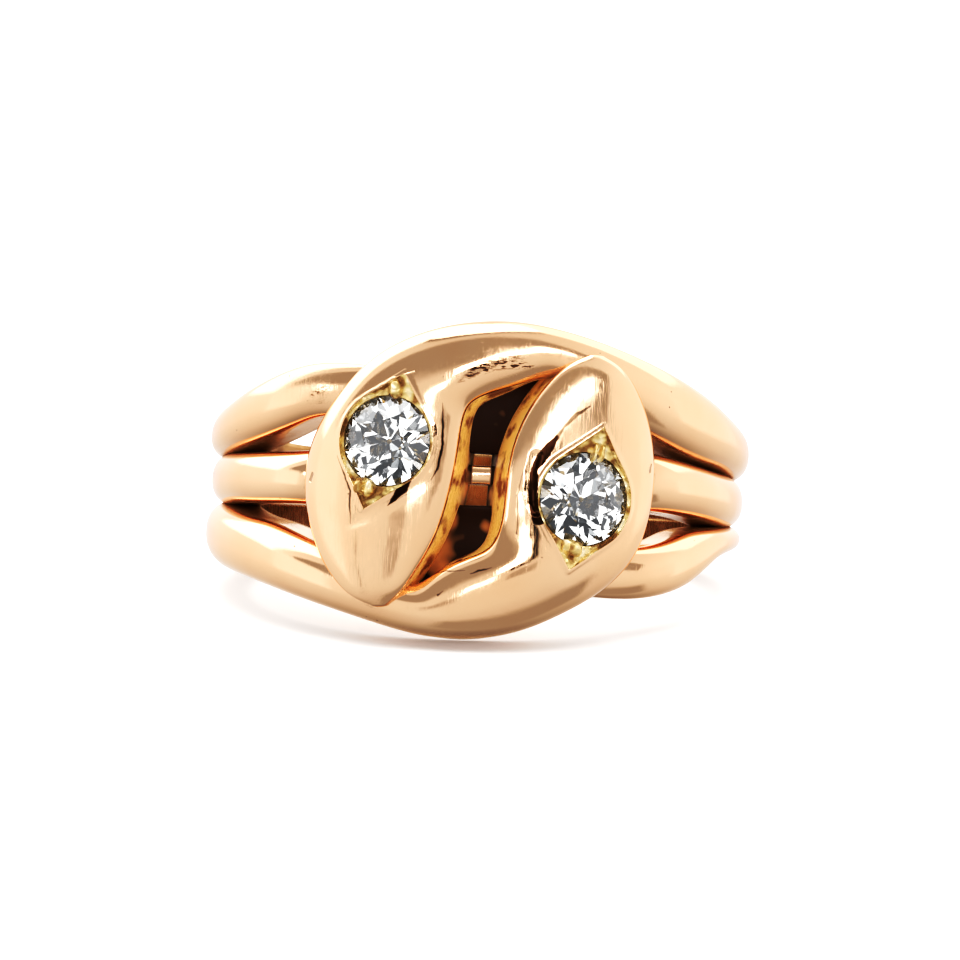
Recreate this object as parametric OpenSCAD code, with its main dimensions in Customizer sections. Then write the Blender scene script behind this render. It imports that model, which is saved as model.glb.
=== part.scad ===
// Snake ring: two polished gold snakes wound round a plain middle band, a cut diamond in each head.
// It lies on its side with the heads towards the front (-Y), +Z up, origin on the floor under its middle.

/* [Finger hole] */
// inside diameter of the ring
finger_d = 17.4; // [17:0.1:17.7]
// slope of the finger hole's axis, back from the vertical, as the ring rests on its side
rest_pitch = 12.9; // [12.5:0.1:13.3]
// sideways lean of the ring as it rests
rest_roll = 1.5; // [1:0.1:2]

/* [Bands] */
// scale of every height along the finger
height_scale = 1; // [0.95:0.01:1.05]
// fullness of the rounded bands, higher is squarer
band_fullness = 2.4; // [2:0.1:3]
// length of one piece of a band along its run
piece_l = 1.08; // [1.04:0.04:1.12]
// pieces across the face of a snake
face_steps = 10; // [8:2:12]
// pieces across the face of the middle band
band_steps = 8; // [6:2:8]

/* [Diamonds] */
// diameter of the stone in the left head
left_stone_d = 3.4; // [3.1:0.05:3.5]
// diameter of the stone in the right head
right_stone_d = 3.5; // [3.2:0.05:3.6]
// width of the table as a share of the stone
table_share = 0.46; // [0.4:0.01:0.55]
// height of the crown as a share of the stone
crown_share = 0.16; // [0.13:0.01:0.18]
// depth of the pavilion as a share of the stone
pavilion_share = 0.43; // [0.38:0.01:0.45]
// width of the small flat culet as a share of the stone
culet_share = 0.06; // [0.04:0.01:0.1]
// gap between a stone and its seat
seat_gap = 0.04; // [0.03:0.01:0.06]

/* [Settings] */
// distance from the finger hole's axis to the girdle of a stone
girdle_reach = 11.24; // [11.1:0.02:11.3]
// width of the rim between a stone and the side of its pointed recess
recess_rim = 0.1; // [0.08:0.01:0.16]
// spread of the recess's cut walls, each side
recess_flare = 0.22; // [0.1:0.02:0.3]
// diameter of the gold grains that hold a stone
grain_d = 0.62; // [0.5:0.02:0.7]

/* [Hidden] */

finger_r = finger_d / 2;
// the bands' feet reach this far into the finger hole before it is cut
foot_depth = 0.9;
base_r = finger_r - foot_depth;
// the middle of a band's thickness, where its run is measured
run_r = finger_r * 1.2;
bore_h = 20;
rough_allowance = 0.2;
// from the middle of the floor under the ring to the middle of the finger hole
rest_shift = [0.009, 0.905, 4.022];
girdle_t = 0.05;
// where the kites' tips stand on the crown, as shares of its height and of its width
kite_rise = 0.54;
kite_spread = 1.03;
// where the pavilion's facets break, as shares of its depth and of the stone's radius
break_depth = 0.42;
break_share = 0.62;
recess_h = 2;
// width of the small flat at each point of a recess
point_w = 0.12;
// width of a grain as a share of its length
grain_share = 0.8;
fine = 96;
rough_sides = 89;
seat_fine = 48;
grain_fine = 12;

// columns of the snake tables: angle and height of the outer and the inner edge,
// then the metal over the finger hole at the outer edge, the inner edge and the crest,
// and how far the foot of the inner wall leans out
out_a = 0;
out_h = 1;
in_a = 2;
in_h = 3;
out_t = 4;
in_t = 5;
crest_t = 6;
foot_lean = 7;

// the snake whose head lies on the left, from its nose to the tip of its tail
left_snake = [
    // outer angle, outer height, inner angle, inner height, outer edge, inner edge, crest, foot
    [-20.0, -4.97, -17.0, -4.93, 2.60, 2.60, 2.66, 0],
    [-23.4, -4.80, -14.0, -4.48, 2.62, 2.62, 2.82, 0],
    [-26.6, -4.36, -12.4, -3.88, 2.50, 2.58, 2.86, 0.15],
    [-30.3, -3.70, -10.2, -3.19, 2.36, 2.52, 2.90, 0.3],
    [-33.4, -2.86, -8.3, -2.42, 2.24, 2.48, 2.92, 0.4],
    [-36.0, -1.80, -6.7, -1.53, 2.16, 2.46, 2.94, 0.5],
    [-37.3, -0.73, -5.6, -0.58, 2.12, 2.46, 2.96, 0.5],
    [-37.4, 0.31, -4.7, 0.34, 2.10, 2.46, 2.96, 0.5],
    [-36.1, 1.27, -4.2, 1.25, 2.10, 2.46, 2.96, 0.5],
    [-33.4, 2.19, -3.8, 2.02, 2.10, 2.44, 2.94, 0.5],
    [-29.6, 3.15, -3.0, 2.60, 2.10, 2.42, 2.92, 0.5],
    [-25.3, 4.04, -1.8, 2.90, 2.10, 2.38, 2.90, 0.5],
    [-20.6, 4.75, 0.1, 3.12, 2.08, 2.32, 2.86, 0.45],
    [-14.6, 5.33, 2.7, 3.32, 2.04, 2.24, 2.80, 0.4],
    [-8.0, 5.74, 6.0, 3.54, 2.00, 2.16, 2.72, 0.3],
    [-0.5, 5.98, 9.6, 3.78, 1.94, 2.06, 2.62, 0.15],
    [7.2, 6.02, 14.3, 3.97, 1.88, 1.94, 2.50, 0],
    [15.3, 5.83, 19.6, 3.60, 1.82, 1.82, 2.42, 0],
    [24.3, 5.48, 25.9, 3.12, 1.76, 1.72, 2.38, 0],
    [34.7, 4.97, 33.4, 2.42, 1.68, 1.66, 2.36, 0],
    [46.4, 4.36, 43.0, 1.79, 1.58, 1.56, 2.32, 0],
    [58.4, 3.75, 54.5, 1.31, 1.44, 1.42, 2.22, 0],
    [72.2, 3.10, 68.5, 1.08, 1.28, 1.28, 2.14, 0],
    [87.0, 2.72, 84.0, 0.80, 1.14, 1.14, 2.08, 0],
    [104.2, 2.39, 104.2, 0.66, 1.00, 1.00, 1.96, 0],
    [129.1, 2.08, 129.1, 0.58, 0.86, 0.86, 1.80, 0],
    [154.3, 1.94, 154.3, 0.54, 0.78, 0.78, 1.68, 0],
    [179.2, 1.88, 179.2, 0.52, 0.76, 0.76, 1.64, 0],
    [203.3, 1.80, 203.3, 0.54, 0.78, 0.78, 1.68, 0],
    [229.2, 1.72, 229.2, 0.58, 0.84, 0.84, 1.76, 0],
    [246.0, 1.80, 246.0, 0.64, 0.94, 0.94, 1.86, 0],
    [260.0, 2.08, 261.0, 0.72, 1.02, 1.02, 1.96, 0],
    [273.0, 2.52, 278.0, 0.82, 1.12, 1.12, 2.06, 0],
    [289.2, 2.98, 294.5, 1.12, 1.24, 1.24, 2.10, 0],
    [303.7, 3.63, 305.5, 1.44, 1.34, 1.34, 2.08, 0],
    [313.6, 4.09, 314.4, 1.84, 1.36, 1.36, 1.98, 0],
    [321.5, 4.32, 322.2, 2.26, 1.28, 1.28, 1.78, 0],
    [331.0, 4.28, 331.0, 2.20, 1.10, 1.10, 1.40, 0],
    [342.0, 4.10, 342.0, 1.55, 0.94, 0.94, 1.18, 0],
    [355.0, 3.90, 355.0, 1.05, 0.80, 0.80, 1.06, 0],
    [367.3, 4.05, 367.3, 1.00, 0.74, 0.74, 1.00, 0],
    [381.0, 3.95, 381.0, 1.05, 0.70, 0.70, 0.90, 0]
];

// the snake whose head lies on the right, from its nose to the tip of its tail
right_snake = [
    // outer angle, outer height, inner angle, inner height, outer edge, inner edge, crest, foot
    [24.0, 4.82, 20.8, 4.84, 2.60, 2.60, 2.66, 0],
    [27.2, 4.58, 17.4, 4.62, 2.62, 2.62, 2.82, 0],
    [29.6, 4.19, 15.1, 4.20, 2.50, 2.58, 2.86, 0.15],
    [32.1, 3.69, 12.5, 3.64, 2.36, 2.52, 2.90, 0.3],
    [34.6, 2.96, 10.0, 2.93, 2.24, 2.48, 2.92, 0.4],
    [36.6, 2.14, 8.0, 2.16, 2.16, 2.46, 2.94, 0.5],
    [37.8, 1.16, 6.5, 1.27, 2.12, 2.46, 2.96, 0.5],
    [38.1, 0.13, 5.7, 0.35, 2.10, 2.46, 2.96, 0.5],
    [37.4, -1.03, 5.4, -0.60, 2.10, 2.46, 2.96, 0.5],
    [35.6, -2.08, 5.1, -1.47, 2.10, 2.44, 2.94, 0.5],
    [32.7, -3.00, 4.3, -2.16, 2.10, 2.42, 2.92, 0.5],
    [28.8, -3.72, 3.0, -2.60, 2.10, 2.38, 2.90, 0.5],
    [24.2, -4.37, 0.9, -2.86, 2.08, 2.32, 2.86, 0.45],
    [18.4, -4.99, -1.8, -3.06, 2.04, 2.24, 2.80, 0.4],
    [11.4, -5.62, -4.9, -3.32, 2.00, 2.16, 2.72, 0.3],
    [4.1, -6.00, -8.3, -3.70, 1.94, 2.06, 2.62, 0.15],
    [-3.4, -6.12, -12.0, -4.16, 1.88, 1.94, 2.50, 0],
    [-11.3, -6.02, -16.4, -3.97, 1.82, 1.82, 2.42, 0],
    [-19.6, -5.68, -21.6, -3.59, 1.76, 1.72, 2.38, 0],
    [-28.9, -5.24, -29.4, -3.02, 1.70, 1.66, 2.38, 0],
    [-39.2, -4.78, -38.8, -2.42, 1.60, 1.58, 2.36, 0],
    [-50.5, -4.31, -50.1, -1.86, 1.46, 1.46, 2.28, 0],
    [-62.1, -3.93, -61.8, -1.56, 1.32, 1.32, 2.20, 0],
    [-77.5, -3.50, -75.0, -1.18, 1.20, 1.20, 2.16, 0],
    [-92.0, -3.05, -90.0, -0.86, 1.08, 1.08, 2.06, 0],
    [-110.7, -2.60, -110.7, -0.72, 0.96, 0.96, 1.94, 0],
    [-132.6, -2.22, -132.6, -0.58, 0.86, 0.86, 1.80, 0],
    [-157.3, -2.00, -157.3, -0.54, 0.78, 0.78, 1.68, 0],
    [-181.9, -1.92, -181.9, -0.52, 0.76, 0.76, 1.64, 0],
    [-206.3, -1.90, -206.3, -0.54, 0.78, 0.78, 1.68, 0],
    [-231.9, -1.92, -231.9, -0.60, 0.84, 0.84, 1.76, 0],
    [-256.4, -1.98, -256.4, -0.78, 0.92, 0.92, 1.82, 0],
    [-277.0, -2.12, -277.0, -1.04, 1.00, 1.00, 1.84, 0],
    [-291.5, -2.45, -292.2, -1.24, 1.10, 1.10, 1.88, 0],
    [-299.2, -3.02, -299.8, -1.36, 1.20, 1.20, 1.92, 0],
    [-305.9, -3.61, -306.4, -1.54, 1.28, 1.28, 1.94, 0],
    [-312.8, -3.98, -313.3, -1.94, 1.32, 1.32, 1.92, 0],
    [-319.9, -4.23, -320.4, -2.24, 1.28, 1.28, 1.80, 0],
    [-328.0, -4.30, -328.0, -2.34, 1.14, 1.14, 1.50, 0],
    [-338.0, -4.20, -338.0, -1.80, 0.98, 0.98, 1.26, 0],
    [-350.0, -4.00, -350.0, -1.05, 0.84, 0.84, 1.10, 0],
    [-363.0, -4.10, -363.0, -1.00, 0.76, 0.76, 1.02, 0],
    [-378.0, -3.95, -378.0, -1.05, 0.70, 0.70, 0.90, 0]
];

// columns of the middle band's table: angle, top edge, bottom edge, metal at the edge and at the crest
mid_a = 0;
mid_top = 1;
mid_bottom = 2;
mid_edge = 3;
mid_crest = 4;

// the plain middle band, once round from behind the heads, where it is a narrow bridge
middle_rows = [
    // angle, top, bottom, edge, crest
    [-27, 1.20, -1.20, 0.60, 0.90],
    [-13, 0.75, -0.45, 0.60, 0.80],
    [-4, 0.56, -0.20, 0.60, 0.76],
    [5, 0.56, -0.20, 0.60, 0.76],
    [14, 0.75, -0.45, 0.60, 0.80],
    [27, 1.20, -1.20, 0.60, 0.90],
    [34, 1.45, -1.00, 0.92, 1.50],
    [41, 1.40, -0.86, 1.26, 1.96],
    [56, 1.11, -0.95, 1.22, 2.00],
    [68, 0.96, -1.10, 1.14, 1.96],
    [80, 0.94, -1.18, 1.06, 1.92],
    [100, 0.85, -1.00, 0.98, 1.84],
    [130, 0.72, -0.72, 0.86, 1.74],
    [156, 0.68, -0.68, 0.78, 1.62],
    [180, 0.66, -0.66, 0.76, 1.58],
    [204, 0.68, -0.68, 0.78, 1.62],
    [230, 0.74, -0.74, 0.86, 1.74],
    [256, 0.88, -0.94, 1.00, 1.88],
    [278, 0.98, -1.08, 1.10, 1.96],
    [290, 0.92, -1.04, 1.18, 2.00],
    [304, 0.90, -1.12, 1.24, 2.00],
    [318.6, 0.92, -1.16, 1.26, 1.94],
    [326, 1.05, -1.20, 0.92, 1.50]
];

// columns of the settings' table: where the stone sits, its size, and the recess's length and slant
set_a = 0;
set_h = 1;
set_d = 2;
set_l = 3;
set_slant = 4;
left_setting = [-18.2, 1.26, left_stone_d, 5.3, 15];
right_setting = [20.8, -0.62, right_stone_d, 5.5, 12];

function catmull(a, b, c, d, t) =
    0.5 * (2 * b + (c - a) * t + (2 * a - 5 * b + 4 * c - d) * t * t + (3 * b - a - 3 * c + d) * t * t * t);

// how many pieces fill the run from one row to the next
function pieces(a, b, rise) =
    ceil(norm([(b[0] - a[0]) * PI / 180 * run_r, b[rise] - a[rise]]) / piece_l);

// open tables keep their end rows, and closed ones run on through a full turn
function smooth_open(rows) = [
    for (i = [0:len(rows) - 2])
        let (per = pieces(rows[i], rows[i + 1], out_h))
        for (k = [0:per - 1])
            catmull(rows[max(i - 1, 0)], rows[i], rows[i + 1], rows[min(i + 2, len(rows) - 1)], k / per),
    rows[len(rows) - 1]
];

function turned(rows, i) =
    let (n = len(rows), lap = floor(i / n))
    [for (c = [0:len(rows[0]) - 1]) rows[i - lap * n][c] + (c == mid_a ? 360 * lap : 0)];

function smooth_closed(rows) = [
    for (i = [0:len(rows) - 1])
        let (per = pieces(rows[i], turned(rows, i + 1), mid_top))
        for (k = [0:per - 1])
            catmull(turned(rows, i - 1), turned(rows, i), turned(rows, i + 1), turned(rows, i + 2), k / per)
];

function on_ring(r, a, h) = [r * sin(a), -r * cos(a), h * height_scale];

function across(k, n) = (1 - cos(180 * k / n)) / 2;

function bow(u) = pow(max(0, 1 - pow(abs(2 * u - 1), band_fullness)), 0.5);

// one cross-section: a foot under each edge, and the rounded face between them
function section(a0, h0, a1, h1, t0, t1, crest, lean, n) = [
    on_ring(base_r, a0, h0),
    for (k = [0:n])
        let (u = across(k, n), edge = t0 + (t1 - t0) * u)
        on_ring(finger_r + edge + (crest - edge) * bow(u), a0 + (a1 - a0) * u, h0 + (h1 - h0) * u),
    let (out = lean / norm([(a1 - a0) * PI / 180 * finger_r, h1 - h0]))
    on_ring(base_r, a1 + (a1 - a0) * out, h1 + (h1 - h0) * out)
];

function joined(sections) = [for (s = sections) for (p = s) p];

function skin_faces(count, width, laps) = [
    for (i = [0:laps - 1])
        for (j = [0:width - 1])
            let (a = i * width + j, b = i * width + (j + 1) % width)
            let (c = ((i + 1) % count) * width + (j + 1) % width, d = ((i + 1) % count) * width + j)
            each [[a, c, b], [a, d, c]]
];

function cap_faces(first, width, near) = [
    for (j = [1:width - 2]) near ? [first, first + j, first + j + 1] : [first, first + j + 1, first + j]
];

module run(fine_rows) {
    count = len(fine_rows);
    width = face_steps + 3;
    sections = [
        for (r = fine_rows)
            section(
                r[out_a], r[out_h], r[in_a], r[in_h],
                r[out_t], r[in_t], r[crest_t], r[foot_lean], face_steps
            )
    ];
    faces = concat(
        skin_faces(count, width, count - 1),
        cap_faces(0, width, true),
        cap_faces((count - 1) * width, width, false)
    );
    polyhedron(points = joined(sections), faces = faces);
}

// the tail passes under its own neck, so the snake is built as two runs that meet at the back
module snake(rows) {
    fine_rows = smooth_open(rows);
    half = floor(len(fine_rows) / 2);
    run([for (i = [0:half]) fine_rows[i]]);
    run([for (i = [half:len(fine_rows) - 1]) fine_rows[i]]);
}

module middle_band() {
    fine_rows = smooth_closed(middle_rows);
    count = len(fine_rows);
    sections = [
        for (r = fine_rows)
            section(
                r[mid_a], r[mid_top], r[mid_a], r[mid_bottom],
                r[mid_edge], r[mid_edge], r[mid_crest], 0, band_steps
            )
    ];
    polyhedron(points = joined(sections), faces = skin_faces(count, band_steps + 3, count));
}

// puts a thing that is built along +Z onto the ring, with the girdle's height at its origin
module at_setting(place) {
    rotate([0, 0, place[set_a]])
        translate([0, -girdle_reach, place[set_h] * height_scale])
            rotate([90, 0, 0])
                rotate([0, 0, -place[set_slant]])
                    children();
}

// a disc with a point at each end along Y, which flares upwards
module pointed_disc(length, w, flare, h) {
    grown = (w + 2 * flare) / w;
    linear_extrude(height = h, scale = grown)
        hull() {
            circle(d = w, $fn = seat_fine);
            for (side = [-1, 1])
                translate([0, side * length / 2])
                    square(point_w, center = true);
        }
}

// room for the stone: open at the top, and a cone under the girdle
module seat(place) {
    seat_r = place[set_d] / 2 + seat_gap;
    culet_r = culet_share * place[set_d];
    depth = place[set_d] * pavilion_share + 2 * seat_gap;
    at_setting(place) {
        translate([0, 0, girdle_t])
            pointed_disc(place[set_l], place[set_d] + 2 * recess_rim, recess_flare * recess_h, recess_h);
        rotate_extrude($fn = seat_fine)
            polygon([[0, -depth], [culet_r, -depth], [seat_r, -seat_gap], [seat_r, recess_h], [0, recess_h]]);
    }
}

module grains(place) {
    reach = place[set_d] / 2 + seat_gap + grain_d / 2;
    at_setting(place)
        for (side = [-1, 1])
            translate([0, side * reach, girdle_t])
                scale([grain_share, 1, 1])
                    sphere(d = grain_d, $fn = grain_fine);
}

// clears the bands' feet, just short of the finished hole
module rough_hole() {
    translate([0, 0, -bore_h / 2])
        cylinder(r = finger_r - rough_allowance, h = bore_h, $fn = rough_sides);
}

// all the metal is joined first, as one faceted body, and the true round hole is cut through it last
module gold_ring() {
    color("#E8BE8C")
        difference() {
            resize([0, 0, 0])
                union() {
                    difference() {
                        union() {
                            snake(left_snake);
                            snake(right_snake);
                            middle_band();
                        }
                        rough_hole();
                        seat(left_setting);
                        seat(right_setting);
                    }
                    grains(left_setting);
                    grains(right_setting);
                }
            translate([0, 0, -bore_h / 2])
                cylinder(r = finger_r, h = bore_h, $fn = fine);
        }
}

function stone_ring(r, z, count, turn) = [
    for (i = [0:count - 1])
        let (a = 360 * i / count + turn)
        [r * cos(a), r * sin(a), z]
];

// an old-cut round stone: table, stars, kites and girdle facets over a pavilion with a small culet
module cut_stone(d) {
    r = d / 2;
    crown = d * crown_share;
    pavilion = d * pavilion_share;
    table_r = r * table_share;
    crown_r = r * (1 + table_share) / 2 * kite_spread;
    break_r = r * break_share;
    half_facet = 360 / 16;
    points = concat(
        stone_ring(table_r, crown + girdle_t, 8, 0),
        stone_ring(crown_r, girdle_t + crown * kite_rise, 8, half_facet),
        stone_ring(r, girdle_t, 16, 0),
        stone_ring(r, 0, 16, 0),
        stone_ring(break_r, -pavilion * break_depth, 8, half_facet),
        stone_ring(r * culet_share, -pavilion, 8, 0)
    );
    table = 0;
    upper = 8;
    rim = 16;
    under = 32;
    lower = 48;
    culet = 56;
    faces = concat(
        [[for (i = [7:-1:0]) table + i]],
        [[for (i = [0:7]) culet + i]],
        [
            for (i = [0:7])
                let (n = (i + 1) % 8, g = 2 * i, h = (2 * i + 1) % 16, k = (2 * i + 2) % 16)
                each [
                    [table + i, table + n, upper + i],
                    [table + n, rim + k, upper + i],
                    [table + i, upper + i, rim + g],
                    [upper + i, rim + h, rim + g],
                    [upper + i, rim + k, rim + h],
                    [rim + g, rim + h, under + g],
                    [rim + h, under + h, under + g],
                    [rim + h, rim + k, under + h],
                    [rim + k, under + k, under + h],
                    [under + g, under + h, lower + i],
                    [under + h, under + k, lower + i],
                    [under + g, lower + i, culet + i],
                    [lower + i, under + k, culet + n],
                    [lower + i, culet + n, culet + i]
                ]
        ]
    );
    polyhedron(points = points, faces = faces);
}

module left_diamond() {
    color("#DCE4E8")
        at_setting(left_setting)
            cut_stone(left_setting[set_d]);
}

module right_diamond() {
    color("#DCE4E8")
        at_setting(right_setting)
            cut_stone(right_setting[set_d]);
}

// the ring as it rests on its side, its lowest points on the floor
module at_rest() {
    translate(rest_shift)
        rotate([-rest_pitch, rest_roll, 0])
            children();
}

at_rest() gold_ring();
at_rest() left_diamond();
at_rest() right_diamond();
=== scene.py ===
import math

import bmesh
import bpy
import numpy as np
from mathutils import Matrix, Vector, noise


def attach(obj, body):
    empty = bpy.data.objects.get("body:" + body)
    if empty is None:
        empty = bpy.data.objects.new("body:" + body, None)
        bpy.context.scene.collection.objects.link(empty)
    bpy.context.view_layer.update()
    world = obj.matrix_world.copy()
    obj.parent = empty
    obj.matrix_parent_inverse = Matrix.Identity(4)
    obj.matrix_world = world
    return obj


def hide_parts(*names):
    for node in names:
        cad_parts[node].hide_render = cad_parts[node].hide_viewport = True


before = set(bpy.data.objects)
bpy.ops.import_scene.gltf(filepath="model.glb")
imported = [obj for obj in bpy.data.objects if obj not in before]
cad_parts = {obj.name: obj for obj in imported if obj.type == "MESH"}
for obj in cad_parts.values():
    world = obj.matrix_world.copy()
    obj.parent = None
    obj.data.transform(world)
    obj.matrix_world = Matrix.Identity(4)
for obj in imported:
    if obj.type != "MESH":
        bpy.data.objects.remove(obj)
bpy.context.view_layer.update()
print("frame loaded")

# The bands are worked out in the ring's own frame, in millimetres and degrees: angle from the front, height
# along the finger. toRest then lays them down as the ring rests on its side, in metres.
millimetre = 0.001  # in metres
ring = {
    "fingerRadius": 8.7,
    "faceReach": 11.5,  # radius at which angles turn into millimetres over the faces
    "restShift": (0.009, 0.905, 4.022),
    "restPitch": 12.9,
    "restRoll": 1.5,
    "fullness": 2.4,  # how square the rounded bands are
    "girdleReach": 11.24,  # from the finger hole's axis to a stone's girdle
}
toRest = (
    Matrix.Scale(millimetre, 4)
    @ Matrix.Translation(ring["restShift"])
    @ Matrix.Rotation(math.radians(ring["restRoll"]), 4, "Y")
    @ Matrix.Rotation(math.radians(-ring["restPitch"]), 4, "X")
)


class Wire:  # one socket of a node tree, so that shader maths can be written as plain expressions
    def __init__(self, board, socket):
        self.board = board
        self.socket = socket

    def maths(self, operation, *values, **settings):
        return self.board.node("ShaderNodeMath", {"operation": operation, **settings}, dict(enumerate(values)))

    def __add__(self, other):
        return self.maths("ADD", self, other)

    def __radd__(self, other):
        return self.maths("ADD", other, self)

    def __sub__(self, other):
        return self.maths("SUBTRACT", self, other)

    def __rsub__(self, other):
        return self.maths("SUBTRACT", other, self)

    def __mul__(self, other):
        return self.maths("MULTIPLY", self, other)

    def __rmul__(self, other):
        return self.maths("MULTIPLY", other, self)

    def __truediv__(self, other):
        return self.maths("DIVIDE", self, other)

    def __rtruediv__(self, other):
        return self.maths("DIVIDE", other, self)

    def clamped(self):
        return self.maths("ADD", self, 0.0, use_clamp=True)

    def size(self):
        return self.maths("ABSOLUTE", self)


class Board:  # a node tree that is filled from scratch
    def __init__(self, tree):
        self.tree = tree
        tree.nodes.clear()

    def node(self, kind, settings=None, inputs=None, output=0):
        made = self.tree.nodes.new(kind)
        for name, value in (settings or {}).items():
            if name == "stops":
                ramp = made.color_ramp
                while len(ramp.elements) < len(value):
                    ramp.elements.new(1.0)
                for element, (place, colour) in zip(ramp.elements, value):
                    element.position = place
                    element.color = (*colour, 1.0)
            else:
                setattr(made, name, value)
        for name, value in (inputs or {}).items():
            if isinstance(value, Wire):
                self.tree.links.new(value.socket, made.inputs[name])
            else:
                made.inputs[name].default_value = value
        return Wire(self, made.outputs[output]) if len(made.outputs) else None

    def vector(self, operation, *values, output=0):
        return self.node("ShaderNodeVectorMath", {"operation": operation}, dict(enumerate(values)), output)

    def mixed(self, share, first, second):
        inputs = {"Factor": share, 6: first, 7: second}
        return self.node("ShaderNodeMix", {"data_type": "RGBA"}, inputs, 2)


def catmullRom(a, b, c, d, t):
    return 0.5 * (2 * b + (c - a) * t + (2 * a - 5 * b + 4 * c - d) * t**2 + (3 * b - a - 3 * c + d) * t**3)


arcGain = 1.2  # how much longer an arc is over the metal than on the finger hole


def fineRows(rows, step, closed):
    rows = np.array(rows, float)
    count = len(rows)
    fine = []
    for i in range(count if closed else count - 1):
        near = []
        for k in range(i - 1, i + 3):
            row = rows[k % count if closed else min(max(k, 0), count - 1)].copy()
            if closed:
                row[[0, 2]] += 360 * (k // count)
            near.append(row)
        turn = math.radians(near[2][0] - near[1][0]) * ring["fingerRadius"] * arcGain
        pieces = max(1, math.ceil(math.hypot(turn, near[2][1] - near[1][1]) / step))
        fine += [catmullRom(*near, k / pieces) for k in range(pieces)]
    if not closed:
        fine.append(rows[-1])
    return np.array(fine)


def evened(rows, reach, closed):  # takes the small jolts out of the rows, so that reflections run smoothly
    tail = 3 * reach  # rows on either side that still count
    if closed:
        lap = np.zeros(rows.shape[1])
        lap[[0, 2]] = 360
        padded = np.concatenate([rows[-tail:] - lap, rows, rows[:tail] + lap])
    else:
        before = 2 * rows[0] - rows[tail:0:-1]
        after = 2 * rows[-1] - rows[-2:-tail - 2:-1]
        padded = np.concatenate([before, rows, after])
    weights = np.exp(-0.5 * (np.arange(-tail, tail + 1) / reach) ** 2)
    weights /= weights.sum()
    return np.stack([np.convolve(column, weights, "valid") for column in padded.T], axis=1)


def roundedNose(rows, nose):  # closes the tip with a few rows that draw in and dip
    first, second = rows[0], rows[1]
    reach = ring["fingerRadius"] + first[6]
    middle = np.array([(first[0] + first[2]) / 2, (first[1] + first[3]) / 2])
    behind = np.array([(second[0] + second[2]) / 2, (second[1] + second[3]) / 2])
    ahead = (middle - behind) * np.array([math.radians(1) * reach, 1])
    ahead /= np.linalg.norm(ahead)
    ahead *= np.array([1 / (math.radians(1) * reach), 1])
    made = []
    for turn in np.radians(nose["turns"]):
        row = first.copy()
        sweep = ahead * nose["reach"] * math.sin(turn)
        for ends in ([0, 1], [2, 3]):
            row[ends] = middle + (first[ends] - middle) * math.cos(turn) + sweep
        row[4:7] -= nose["dip"] * (1 - math.cos(turn))
        made.append(row)
    return np.concatenate([made[::-1], rows])


section = {
    "wall": 7,  # points up a side wall
    "bore": 14,  # points across the finger's side
    "softEdge": 0.09,
    "softShare": 0.2,  # the most of the width that a soft edge may take
    "corner": 0.3,  # where on the soft edge its middle point lies
    "leanCurve": 0.8,
}


def bandPoints(rows, faces):  # rows by section points, each a radius, an angle and a height
    even = np.linspace(0, 1, faces + 1)  # and closer together towards both edges
    arch = 0.5 * even + 0.25 * (1 - np.cos(np.pi * even))
    bow = np.maximum(0, 1 - np.abs(2 * arch - 1) ** ring["fullness"]) ** 0.5
    up = np.linspace(0, 1, section["wall"] + 1)[:-1]
    soft, corner = section["softEdge"], section["corner"]
    outerA, outerH, innerA, innerH, outerT, innerT, crest, lean = (rows[:, k:k + 1] for k in range(8))
    across = np.hypot(np.radians(innerA - outerA) * ring["fingerRadius"], innerH - outerH)
    inset = np.minimum(soft / across, section["softShare"])
    lean = lean / across
    edge = outerT + (innerT - outerT) * arch
    back = np.linspace(0, 1, section["bore"])
    runs = (  # each with its share of the way across, and its metal
        (up * 0, soft + (outerT - soft) * up),
        (arch, edge + (crest - edge) * bow),
        (1 + lean * up ** section["leanCurve"], soft + (innerT - soft) * up[::-1]),
        (1 + lean - corner * inset, corner * soft),
        (1 + lean - inset - (1 + lean - 2 * inset) * back, 0.0),
        (corner * inset, corner * soft),
    )
    filled = [np.broadcast_arrays(*run, outerA)[:2] for run in runs]
    share, metal = (np.concatenate(parts, axis=1) for parts in zip(*filled))
    angle = outerA + (innerA - outerA) * share
    height = outerH + (innerH - outerH) * share
    return ring["fingerRadius"] + metal, angle, height


def onRing(radius, angle, height):
    turn = np.radians(angle)
    return np.stack([radius * np.sin(turn), -radius * np.cos(turn), height], axis=-1)


feel = {"wave": 2.6, "ripple": 1.1, "rippleShare": 0.4, "depth": 0.011, "fade": 0.5}


def handmade(radius, angle, height, seed):  # slow waves of a surface that was filed and polished by hand
    points = onRing(radius, angle, height).reshape(-1, 3)
    waves = [
        noise.noise(Vector(p) / feel["wave"] + Vector((seed, 0, 0)))
        + feel["rippleShare"] * noise.noise(Vector(p) / feel["ripple"] + Vector((0, seed, 0)))
        for p in points
    ]
    depth = np.clip((radius - ring["fingerRadius"]) / feel["fade"], 0, 1)
    return radius - feel["depth"] * depth * (1 + np.array(waves).reshape(radius.shape))


def nearness(angle, height, line):  # millimetres over the face to a line of (angle, height) points
    reach = np.array([math.radians(1) * ring["faceReach"], 1])
    spots = np.stack([angle, height], axis=-1) * reach
    line = np.array(line) * reach
    best = np.full(angle.shape, np.inf)
    for start, end in zip(line[:-1], line[1:]):
        run = end - start
        share = np.clip((spots - start) @ run / (run @ run), 0, 1)
        best = np.minimum(best, np.linalg.norm(spots - start - share[..., None] * run, axis=-1))
    return best


scoring = {"metal": 1.2, "fade": 0.3}  # marks set in over that much metal


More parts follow.
